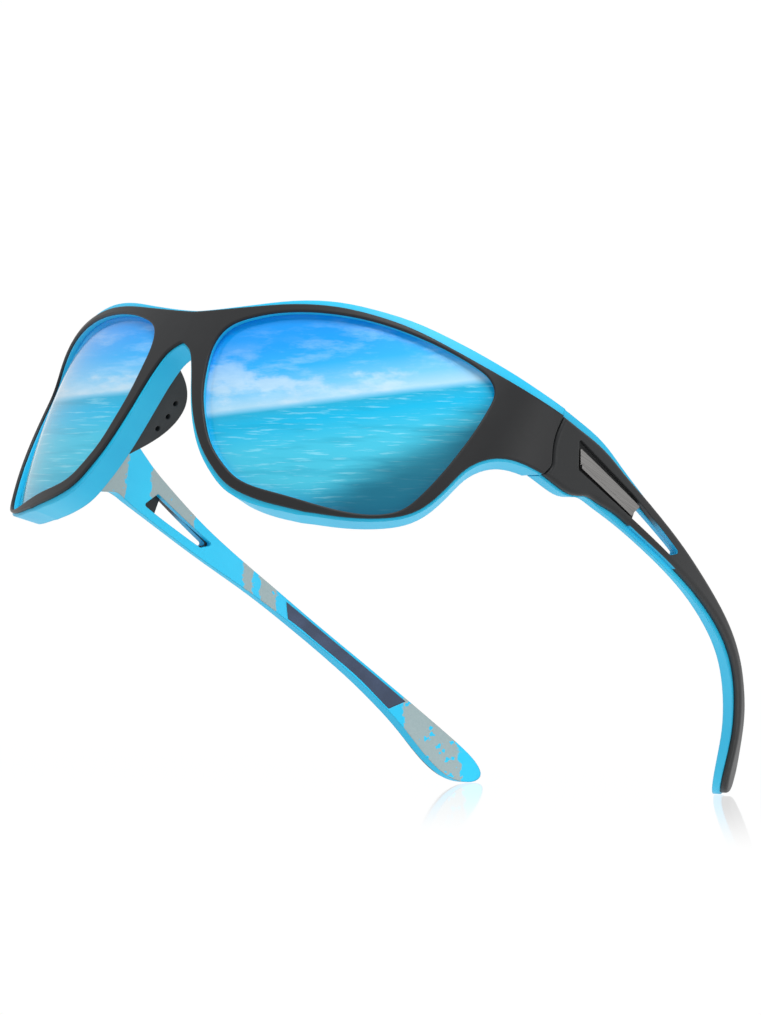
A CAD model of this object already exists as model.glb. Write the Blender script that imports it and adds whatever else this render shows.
import math
import bpy
from mathutils import Matrix, Vector

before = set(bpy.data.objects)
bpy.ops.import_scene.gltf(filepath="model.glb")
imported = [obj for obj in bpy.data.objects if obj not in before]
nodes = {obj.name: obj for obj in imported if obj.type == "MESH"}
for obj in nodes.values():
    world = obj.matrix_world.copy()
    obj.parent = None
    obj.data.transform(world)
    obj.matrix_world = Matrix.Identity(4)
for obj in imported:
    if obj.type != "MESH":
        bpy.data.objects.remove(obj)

scene = bpy.context.scene
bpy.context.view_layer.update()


# ------------------------------------------------------------------ node helpers
class Mat:
    """A small builder for one procedural material."""

    def __init__(self, name):
        self.m = bpy.data.materials.new(name)
        self.m.use_nodes = True
        self.t = self.m.node_tree
        self.t.nodes.clear()
        self.out = self.t.nodes.new("ShaderNodeOutputMaterial")
        self.b = self.t.nodes.new("ShaderNodeBsdfPrincipled")
        self.t.links.new(self.b.outputs[0], self.out.inputs["Surface"])
        self.tc = self.t.nodes.new("ShaderNodeTexCoord")
        self.obj = self.tc.outputs["Object"]

    def link(self, a, b):
        self.t.links.new(a, b)

    def n(self, kind, **kw):
        node = self.t.nodes.new(kind)
        for k, v in kw.items():
            setattr(node, k, v)
        return node

    def put(self, sock, v):
        if isinstance(v, bpy.types.NodeSocket):
            self.link(v, sock)
        else:
            sock.default_value = v

    def math(self, op, a, b=0.0, c=0.0, clamp=False):
        node = self.n("ShaderNodeMath", operation=op, use_clamp=clamp)
        self.put(node.inputs[0], a)
        self.put(node.inputs[1], b)
        if op in ("MULTIPLY_ADD", "COMPARE", "SMOOTH_MIN", "SMOOTH_MAX", "WRAP"):
            self.put(node.inputs[2], c)
        return node.outputs[0]

    def xyz(self, vec=None):
        node = self.n("ShaderNodeSeparateXYZ")
        self.link(vec or self.obj, node.inputs[0])
        return node.outputs

    def vec(self, x, y, z):
        node = self.n("ShaderNodeCombineXYZ")
        for s, v in zip(node.inputs, (x, y, z)):
            self.put(s, v)
        return node.outputs[0]

    def mapping(self, vec=None, loc=(0, 0, 0), rot=(0, 0, 0), scale=(1, 1, 1)):
        node = self.n("ShaderNodeMapping")
        self.link(vec or self.obj, node.inputs[0])
        node.inputs["Location"].default_value = loc
        node.inputs["Rotation"].default_value = rot
        node.inputs["Scale"].default_value = scale
        return node.outputs[0]

    def noise(self, scale, detail=3.0, rough=0.5, vec=None, distort=0.0):
        node = self.n("ShaderNodeTexNoise")
        self.link(vec or self.obj, node.inputs["Vector"])
        node.inputs["Scale"].default_value = scale
        node.inputs["Detail"].default_value = detail
        node.inputs["Roughness"].default_value = rough
        node.inputs["Distortion"].default_value = distort
        return node.outputs["Fac"]

    def ramp(self, fac, stops, mode="LINEAR"):
        node = self.n("ShaderNodeValToRGB")
        node.color_ramp.interpolation = mode
        el = node.color_ramp.elements
        while len(el) > 1:
            el.remove(el[-1])
        for i, (p, c) in enumerate(stops):
            e = el[0] if i == 0 else el.new(p)
            e.position = p
            e.color = tuple(c) + (1.0,) if len(c) == 3 else tuple(c)
        self.link(fac, node.inputs[0])
        return node.outputs[0]

    def span(self, v, a, b, c=0.0, d=1.0):
        node = self.n("ShaderNodeMapRange", interpolation_type="SMOOTHSTEP")
        self.put(node.inputs[0], v)
        for k, x in zip((1, 2, 3, 4), (a, b, c, d)):
            node.inputs[k].default_value = x
        return node.outputs[0]

    def mix(self, fac, a, b, mode="MIX"):
        node = self.n("ShaderNodeMix", data_type="RGBA", blend_type=mode)
        self.put(node.inputs[0], fac)
        for s, v in ((node.inputs[6], a), (node.inputs[7], b)):
            if isinstance(v, bpy.types.NodeSocket):
                self.link(v, s)
            else:
                s.default_value = tuple(v) + (1.0,)
        return node.outputs[2]

    def bump(self, height, strength, dist, normal=None):
        node = self.n("ShaderNodeBump")
        node.inputs["Strength"].default_value = strength
        node.inputs["Distance"].default_value = dist
        self.link(height, node.inputs["Height"])
        if normal is not None:
            self.link(normal, node.inputs["Normal"])
        return node.outputs[0]

    def round_edges(self, radius):
        node = self.n("ShaderNodeBevel", samples=6)
        node.inputs["Radius"].default_value = radius
        return node.outputs[0]


# fixed directions in the part's own frame: the mirror pattern rises and slants along them
SIDEWAYS = (0.7025014, 0.6406981, 0.3098351)
UPWARD = (-0.0091866, -0.4271559, 0.9041313)


def lin(r, g, b):
    f = lambda c: c / 12.92 if c <= 0.04045 else ((c + 0.055) / 1.055) ** 2.4
    return (f(r / 255.0), f(g / 255.0), f(b / 255.0))


def soft_black(name, base=(0.0072, 0.0075, 0.0084), recess=False):
    # soft-touch moulded plastic: fine grain, faint cloudiness, polished spots and a few scuffs
    m = Mat(name)
    grain = m.noise(5200.0, 2.0, 0.6)
    fine = m.noise(14000.0, 1.0, 0.5)
    cloud = m.noise(48.0, 4.0, 0.55)
    scuff_v = m.mapping(scale=(900.0, 90.0, 900.0), rot=(0.2, 0.1, 0.5))
    scuff = m.noise(1.0, 3.0, 0.7, vec=scuff_v)
    scuffs = m.span(scuff, 0.70, 0.80)
    col = m.mix(m.span(cloud, 0.30, 0.75), tuple(c * 0.86 for c in base), tuple(c * 1.22 for c in base))
    col = m.mix(m.math("MULTIPLY", scuffs, 0.25), col, tuple(min(1, c * 2.1) for c in base))
    m.link(col, m.b.inputs["Base Color"])
    rough = m.math("ADD", m.math("MULTIPLY", cloud, 0.10), m.math("MULTIPLY", grain, 0.10))
    rough = m.math("ADD", rough, 0.36)
    rough = m.math("SUBTRACT", rough, m.math("MULTIPLY", scuffs, 0.06))
    m.link(rough, m.b.inputs["Roughness"])
    m.b.inputs["Specular IOR Level"].default_value = 0.33
    m.b.inputs["Sheen Weight"].default_value = 0.05
    m.b.inputs["Sheen Roughness"].default_value = 0.55
    h = m.math("ADD", m.math("MULTIPLY", grain, 0.6), m.math("MULTIPLY", fine, 0.4))
    edge = m.round_edges(0.00045)
    m.link(m.bump(h, 0.16, 0.00006, edge), m.b.inputs["Normal"])
    if recess:
        x, y, z = m.xyz()
        nx = m.xyz(m.tc.outputs["Normal"])[0]
        wall = m.span(m.math("ABSOLUTE", nx), 0.25, 0.45, 1.0, 0.0)
        hh = temple_height(m, y, z)
        inside = m.math("MULTIPLY", m.span(hh, -0.0068, -0.0064), m.span(hh, 0.0036, 0.0040, 1.0, 0.0))
        slot = m.math("MULTIPLY", m.math("MULTIPLY", m.span(y, -0.0075, -0.0070), m.span(y, 0.0092, 0.0096, 1.0, 0.0)), inside)
        lined = m.math("MULTIPLY", m.math("MULTIPLY", slot, wall), m.math("LESS_THAN", m.math("ABSOLUTE", hh), 0.0046))
        lined_col = m.mix(lined, col, m.mix(cloud, (0.010, 0.36, 0.60), (0.016, 0.46, 0.72)))
        m.link(lined_col, m.b.inputs["Base Color"])
    return m


def cyan_plastic(name, grey=None):
    # satin moulded cyan, tinted slightly deeper in the thick parts; optional printed grey patches
    m = Mat(name)
    grain = m.noise(4200.0, 2.0, 0.6)
    cloud = m.noise(36.0, 3.0, 0.5)
    flow = m.noise(1.0, 2.0, 0.5, vec=m.mapping(scale=(420.0, 60.0, 420.0)))
    col = m.mix(m.span(cloud, 0.25, 0.78), (0.012, 0.455, 0.745), (0.020, 0.535, 0.815))
    col = m.mix(m.math("MULTIPLY", m.span(flow, 0.45, 0.75), 0.10), col, (0.050, 0.62, 0.88))
    rough = m.math("ADD", m.math("MULTIPLY", grain, 0.12), 0.34)
    if grey is not None:
        mask, inked = grey(m)
        col = m.mix(mask, col, inked)
        rough = m.math("ADD", rough, m.math("MULTIPLY", mask, 0.14))
    m.link(col, m.b.inputs["Base Color"])
    m.link(rough, m.b.inputs["Roughness"])
    m.b.inputs["Specular IOR Level"].default_value = 0.35
    m.b.inputs["Subsurface Weight"].default_value = 0.0
    edge = m.round_edges(0.00040)
    m.link(m.bump(grain, 0.10, 0.00005, edge), m.b.inputs["Normal"])
    return m


def temple_height(m, y, z):
    # height above the straight line that runs down the temple
    return m.math("SUBTRACT", z, m.math("MULTIPLY_ADD", m.math("ADD", y, 0.0333), -0.155, 0.0293))


def printed_grey(side):
    # worn grey print on the inner face of a temple, side is +1 for the left one
    def make(m):
        x, y, z = m.xyz()
        ragged = m.math("MULTIPLY", m.math("SUBTRACT", m.noise(420.0, 4.0, 0.65), 0.5), 0.0040)
        fray = m.math("MULTIPLY", m.math("SUBTRACT", m.noise(900.0, 3.0, 0.6), 0.5), 0.0018)
        h = m.math("ADD", temple_height(m, y, z), fray)
        # ends lean with the height, so the patches look slanted
        yy = m.math("MULTIPLY_ADD", h, 0.35, m.math("ADD", y, ragged))
        total = None
        # block behind the hinge, strips above and below the window, two slanted stripes, long patch behind the grip
        zones = ((-0.0345, -0.0185, -0.030, 0.030, 1.0), (-0.0100, 0.0045, 0.0022, 0.030, 1.0), (-0.0125, -0.0020, -0.030, -0.0052, 1.0),
                 (-0.0015, 0.0085, -0.030, -0.0028, 1.0), (0.0190, 0.0215, -0.0005, 0.030, 1.0), (0.0235, 0.0275, -0.030, 0.030, 1.0),
                 (0.0560, 0.0660, -0.060, 0.030, 1.0))
        for y0, y1, z0, z1, w in zones:
            c = m.math("MULTIPLY", m.span(yy, y0 - 0.0002, y0 + 0.0002), m.span(yy, y1 - 0.0002, y1 + 0.0002, 1.0, 0.0))
            c = m.math("MULTIPLY", c, m.math("MULTIPLY", m.span(h, z0 - 0.0002, z0 + 0.0002), m.span(h, z1 - 0.0002, z1 + 0.0002, 1.0, 0.0)))
            total = c if total is None else m.math("MAXIMUM", total, c)
        # a few worn spots through the print, more of them behind the grip
        spots = m.noise(560.0, 2.0, 0.55)
        worn = m.math("MULTIPLY_ADD", m.span(y, 0.050, 0.058), -0.075, 0.70)
        total = m.math("MULTIPLY", total, m.math("LESS_THAN", spots, worn))
        # the print is on the inner face only
        nx = m.xyz(m.tc.outputs["Normal"])[0]
        inner = m.span(m.math("MULTIPLY", nx, -float(side)), 0.35, 0.55)
        total = m.math("MULTIPLY", total, inner)
        ink = m.mix(m.noise(2600.0, 3.0, 0.7), (0.245, 0.325, 0.335), (0.335, 0.420, 0.430))
        return total, ink
    return make


def lens_coating(name, h0, slope, mid, seed):
    # blue mirror coating: deep sky blue above, pale haze with soft cloudy patches along a slanting
    # line, turquoise below it and a deep teal lower corner. Heights run along one fixed slanted axis.
    m = Mat(name)
    x, y, z = m.xyz()

    def along(d):
        q = m.math("MULTIPLY", x, d[0])
        q = m.math("MULTIPLY_ADD", y, d[1], q)
        return m.math("MULTIPLY_ADD", z, d[2], q)

    up = m.math("MULTIPLY", along(UPWARD), 1000.0)
    side = m.math("MULTIPLY", along(SIDEWAYS), 1000.0)
    flat = m.vec(side, up, 0.0)
    drift = m.noise(1.0, 4.0, 0.55, vec=m.mapping(flat, loc=(seed, 1.7, 0.4), scale=(0.045, 0.05, 1)))
    puff = m.noise(1.0, 6.0, 0.58, vec=m.mapping(flat, loc=(seed + 2.3, 4.7, 2.2), scale=(0.070, 0.150, 1)))
    wisp = m.noise(1.0, 5.0, 0.62, vec=m.mapping(flat, loc=(seed, 9.1, 1.2), scale=(0.11, 0.42, 1)))
    ripple = m.noise(1.0, 4.0, 0.60, vec=m.mapping(flat, loc=(seed, 0.3, 3.1), scale=(0.16, 1.9, 1), rot=(0, 0, -math.atan(slope))))
    swell = m.noise(1.0, 3.0, 0.55, vec=m.mapping(flat, loc=(seed, 5.3, 0.2), scale=(0.06, 0.55, 1), rot=(0, 0, -math.atan(slope))))
    line = m.math("MULTIPLY_ADD", m.math("SUBTRACT", side, mid), slope, h0)
    d = m.math("SUBTRACT", up, line)
    dd = m.math("MULTIPLY_ADD", m.math("SUBTRACT", drift, 0.5), 0.8, d)
    fac_n = m.n("ShaderNodeMapRange")
    m.put(fac_n.inputs[0], dd)
    for k, v in zip((1, 2, 3, 4), (-24.0, 24.0, 0.0, 1.0)):
        fac_n.inputs[k].default_value = v
    f = lambda mm: (mm + 24.0) / 48.0
    tint = m.ramp(fac_n.outputs[0], (
        (f(-23.0), lin(6, 150, 190)), (f(-15.0), lin(70, 188, 214)), (f(-8.0), lin(64, 190, 220)), (f(-3.0), lin(8, 178, 222)),
        (f(-0.5), lin(30, 168, 208)), (f(0.1), lin(110, 190, 224)), (f(0.9), lin(164, 208, 232)), (f(3.6), lin(112, 192, 236)),
        (f(7.5), lin(44, 170, 238)), (f(12.0), lin(14, 152, 236)), (f(18.0), lin(6, 142, 232)), (f(23.5), lin(8, 150, 236))))
    sky = m.span(d, 0.1, 0.9)
    low = m.span(d, 5.0, 15.0, 1.0, 0.0)
    cloud = m.math("MULTIPLY", m.math("MULTIPLY", m.span(puff, 0.50, 0.64), sky), low)
    haze = m.math("MULTIPLY", m.math("MULTIPLY", m.span(wisp, 0.46, 0.70), sky), m.span(d, 9.0, 20.0, 1.0, 0.0))
    col = m.mix(m.math("MULTIPLY", cloud, 0.62), tint, lin(196, 218, 232))
    col = m.mix(m.math("MULTIPLY", haze, 0.22), col, lin(206, 232, 250))
    sea = m.math("SUBTRACT", 1.0, m.span(d, -0.6, 0.2))
    glint = m.math("MULTIPLY", m.math("MULTIPLY", m.span(ripple, 0.53, 0.70), sea), 0.34)
    col = m.mix(glint, col, lin(178, 238, 250))
    deep = m.math("MULTIPLY", m.math("MULTIPLY", m.span(swell, 0.32, 0.50, 1.0, 0.0), sea), 0.30)
    col = m.mix(deep, col, lin(6, 146, 180))
    # the lower outer corner is the deepest
    corner = m.math("SUBTRACT", m.math("MULTIPLY", m.math("SUBTRACT", side, mid), 0.55), m.math("MULTIPLY_ADD", m.math("SUBTRACT", swell, 0.5), 5.0, m.math("ADD", up, -h0 + 22.0)))
    col = m.mix(m.math("MULTIPLY", m.span(corner, 1.0, 11.0), 0.86), col, lin(0, 88, 112))
    rear = m.span(m.xyz(m.tc.outputs["Normal"])[1], 0.05, 0.25)
    smoke = m.mix(m.noise(30.0, 2.0, 0.5), (0.010, 0.016, 0.020), (0.016, 0.024, 0.029))
    col = m.mix(rear, col, smoke)
    m.link(col, m.b.inputs["Base Color"])
    m.b.inputs["Metallic"].default_value = 0.10
    m.link(m.math("MULTIPLY_ADD", m.noise(240.0, 2.0, 0.5), 0.05, 0.14), m.b.inputs["Roughness"])
    m.b.inputs["Specular IOR Level"].default_value = 0.22
    m.b.inputs["Coat Weight"].default_value = 0.30
    m.b.inputs["Coat Roughness"].default_value = 0.03
    m.b.inputs["Coat IOR"].default_value = 1.42
    wave = m.noise(60.0, 2.0, 0.5)
    m.link(m.bump(wave, 0.02, 0.0004), m.b.inputs["Normal"])
    return m


def rubber(name, base, rough=0.62, grain_scale=3600.0):
    m = Mat(name)
    grain = m.noise(grain_scale, 3.0, 0.65)
    dust = m.noise(160.0, 4.0, 0.6)
    col = m.mix(m.span(dust, 0.35, 0.75), tuple(c * 0.85 for c in base), tuple(c * 1.25 for c in base))
    m.link(col, m.b.inputs["Base Color"])
    m.link(m.math("ADD", m.math("MULTIPLY", grain, 0.15), rough - 0.07), m.b.inputs["Roughness"])
    m.b.inputs["Specular IOR Level"].default_value = 0.35
    m.b.inputs["Sheen Weight"].default_value = 0.12
    m.b.inputs["Sheen Roughness"].default_value = 0.5
    edge = m.round_edges(0.00035)
    m.link(m.bump(grain, 0.22, 0.00008, edge), m.b.inputs["Normal"])
    return m


def brushed(name, base, rot, along=(1, 1, 1), rough=0.30, lo=0.7, hi=1.25):
    m = Mat(name)
    v = m.mapping(rot=rot, scale=along)
    line = m.noise(1.0, 4.0, 0.7, vec=v)
    patch = m.noise(90.0, 3.0, 0.5)
    col = m.mix(line, tuple(c * lo for c in base), tuple(min(1.0, c * hi) for c in base))
    col = m.mix(m.math("MULTIPLY", m.span(patch, 0.45, 0.8), 0.2), col, tuple(c * 0.8 for c in base))
    m.link(col, m.b.inputs["Base Color"])
    m.b.inputs["Metallic"].default_value = 1.0
    m.link(m.math("ADD", m.math("MULTIPLY", line, 0.22), rough - 0.10), m.b.inputs["Roughness"])
    m.b.inputs["Anisotropic"].default_value = 0.55
    edge = m.round_edges(0.00015)
    m.link(m.bump(line, 0.12, 0.00005, edge), m.b.inputs["Normal"])
    return m


mats = {
    "front_outer_shell": soft_black("mat_front_skin"),
    "temple_outer_shell_left": soft_black("mat_temple_skin", (0.0080, 0.0090, 0.0100), True),
    "front_inner_shell": cyan_plastic("mat_front_liner"),
    "temple_inner_liner_left": cyan_plastic("mat_temple_liner_l", printed_grey(1)),
    "temple_inner_liner_right": cyan_plastic("mat_temple_liner_r", printed_grey(-1)),
    "lens_left": lens_coating("mat_lens_coating_l", 46.20, 0.1215, -29.76, 0.0),
    "lens_right": lens_coating("mat_lens_coating_r", 50.20, 0.0800, -58.30, 3.7),
    "nose_pad_left": rubber("mat_nose_pad", (0.020, 0.024, 0.026)),
    "temple_grip_inlay_left": rubber("mat_grip", (0.034, 0.052, 0.098), 0.55, 2600.0),
    "hinge_front_leaf_left": brushed("mat_hinge_metal", (0.56, 0.56, 0.57), (0, 0, 0), (300, 300, 5200)),
    "temple_trim_plate_left": brushed("mat_trim", (0.235, 0.230, 0.225), (0.125, 0, 0), (600, 55, 5200), 0.26, 0.50, 1.45),
    "hinge_screw_left": brushed("mat_screw", (0.50, 0.50, 0.50), (0, 0, 0), (4200, 4200, 300), 0.24),
}
same = {
    "temple_outer_shell_right": "temple_outer_shell_left", "nose_pad_right": "nose_pad_left",
    "temple_grip_inlay_right": "temple_grip_inlay_left", "hinge_front_leaf_right": "hinge_front_leaf_left",
    "hinge_temple_leaf_left": "hinge_front_leaf_left", "hinge_temple_leaf_right": "hinge_front_leaf_left",
    "hinge_screw_right": "hinge_screw_left", "hinge_front_rivets_left": "hinge_screw_left", "hinge_front_rivets_right": "hinge_screw_left",
    "hinge_temple_rivets_left": "hinge_screw_left", "hinge_temple_rivets_right": "hinge_screw_left",
    "temple_trim_plate_right": "temple_trim_plate_left",
}
for name, o in nodes.items():
    m = mats.get(name) or mats[same[name]]
    if not o.data.materials:
        o.data.materials.append(m.m)
    for i in range(len(o.data.materials)):
        o.data.materials[i] = m.m

# ------------------------------------------------------------------ pale floor through the two ear tips, tilted as in a propped-up product shot
TILT = math.radians(36.0)
FLOOR_GLOSS = 0.42
WORLD_LIGHT = 0.72
nrm = Vector((0.0, -math.sin(TILT), math.cos(TILT)))
low = min(((o.matrix_world @ v.co) for o in nodes.values() for v in o.data.vertices), key=lambda p: nrm.dot(p))
tip = Vector((0.0, low.y, low.z)) - nrm * 0.00015
ax_x = Vector((1, 0, 0))
ax_y = nrm.cross(ax_x).normalized()
me = bpy.data.meshes.new("floor")
S = 3.0
corner = []
for sx, sy in ((-1, -1), (1, -1), (1, 1), (-1, 1)):
    corner.append(tip + ax_x * sx * S + ax_y * sy * S)
me.from_pydata([tuple(c) for c in corner], [], [(0, 1, 2, 3)])
me.update()
floor = bpy.data.objects.new("floor", me)
scene.collection.objects.link(floor)
fl = Mat("mat_floor")
fgrain = fl.noise(420.0, 3.0, 0.5)
# distance down the floor from the line under the two ear tips
fx, fy, fz = fl.xyz()
down = fl.math("MULTIPLY_ADD", fy, math.cos(TILT), fl.math("MULTIPLY", fz, math.sin(TILT)))
down = fl.math("SUBTRACT", down, tip.y * math.cos(TILT) + tip.z * math.sin(TILT))
near = fl.span(fl.math("ABSOLUTE", down), 0.002, 0.048, 1.0, 0.0)
gloss_amt = fl.math("MULTIPLY", near, FLOOR_GLOSS)
gl = fl.n("ShaderNodeBsdfGlossy")
fl.link(fl.math("MULTIPLY_ADD", fgrain, 0.05, 0.05), gl.inputs["Roughness"])
gcol = fl.vec(gloss_amt, gloss_amt, gloss_amt)
fl.link(gcol, gl.inputs["Color"])
em = fl.n("ShaderNodeEmission")
em.inputs["Color"].default_value = (1, 1, 1, 1)
fl.link(fl.math("SUBTRACT", 1.01, fl.math("MULTIPLY", gloss_amt, WORLD_LIGHT)), em.inputs["Strength"])
tot = fl.n("ShaderNodeAddShader")
fl.link(gl.outputs[0], tot.inputs[0])
fl.link(em.outputs[0], tot.inputs[1])
geo = fl.n("ShaderNodeNewGeometry")
clear = fl.n("ShaderNodeBsdfTransparent")
both = fl.n("ShaderNodeMixShader")
fl.link(geo.outputs["Backfacing"], both.inputs[0])
fl.link(tot.outputs[0], both.inputs[1])
fl.link(clear.outputs[0], both.inputs[2])
fl.link(both.outputs[0], fl.out.inputs["Surface"])
fl.t.nodes.remove(fl.b)
me.materials.append(fl.m)

# ------------------------------------------------------------------ world and soft lights
world = bpy.data.worlds.new("studio")
scene.world = world
world.use_nodes = True
wt = world.node_tree
wt.nodes.clear()
wo = wt.nodes.new("ShaderNodeOutputWorld")
bg_cam = wt.nodes.new("ShaderNodeBackground")
bg_cam.inputs[0].default_value = (1, 1, 1, 1)
bg_cam.inputs[1].default_value = 1.0
bg_light = wt.nodes.new("ShaderNodeBackground")
bg_light.inputs[0].default_value = (0.97, 0.985, 1.0, 1)
bg_light.inputs[1].default_value = WORLD_LIGHT
lp = wt.nodes.new("ShaderNodeLightPath")
mx = wt.nodes.new("ShaderNodeMixShader")
wt.links.new(lp.outputs["Is Camera Ray"], mx.inputs[0])
wt.links.new(bg_light.outputs[0], mx.inputs[1])
wt.links.new(bg_cam.outputs[0], mx.inputs[2])
wt.links.new(mx.outputs[0], wo.inputs[0])


def area(name, loc, target, size, power, color=(1, 1, 1)):
    ld = bpy.data.lights.new(name, "AREA")
    ld.shape = "RECTANGLE"
    ld.size, ld.size_y = size
    ld.energy = power
    ld.color = color
    lo = bpy.data.objects.new(name, ld)
    lo.location = loc
    d = Vector(target) - Vector(loc)
    lo.rotation_euler = d.to_track_quat("-Z", "Y").to_euler()
    scene.collection.objects.link(lo)
    return lo


area("key", (0.25, -0.75, 0.85), (0, 0, 0.02), (0.7, 0.5), 9.0)
area("fill", (1.1, 0.1, 0.15), (0, 0, 0.02), (0.5, 0.7), 3.0)
area("under", (0.35, -0.55, -0.75), (0, 0, 0.02), (0.8, 0.5), 5.5)

scene.view_settings.view_transform = "Standard"
scene.view_settings.look = "None"
scene.view_settings.exposure = 0.0
scene.view_settings.gamma = 1.0

# ------------------------------------------------------------------ camera
RIGHT = (0.7025013665586558, 0.6406981051357279, 0.30983506589588744)
UP = (-0.009186579446406384, -0.42715593401990953, 0.9041313039540515)
BACK = (0.7116231002021337, -0.6379998010243156, -0.2941918033386341)
cd = bpy.data.cameras.new("camera")
cam = bpy.data.objects.new("camera", cd)
scene.collection.objects.link(cam)
cam.matrix_world = Matrix(((RIGHT[0], UP[0], BACK[0], 1.1540077), (RIGHT[1], UP[1], BACK[1], -1.0435060),
                           (RIGHT[2], UP[2], BACK[2], -0.4500713), (0, 0, 0, 1)))
cd.sensor_width = 36.0
cd.sensor_fit = "AUTO"
cd.lens = 8000.0 * 36.0 / 1015.0
cd.clip_start = 0.05
cd.clip_end = 20.0
cd.dof.use_dof = False
scene.camera = cam
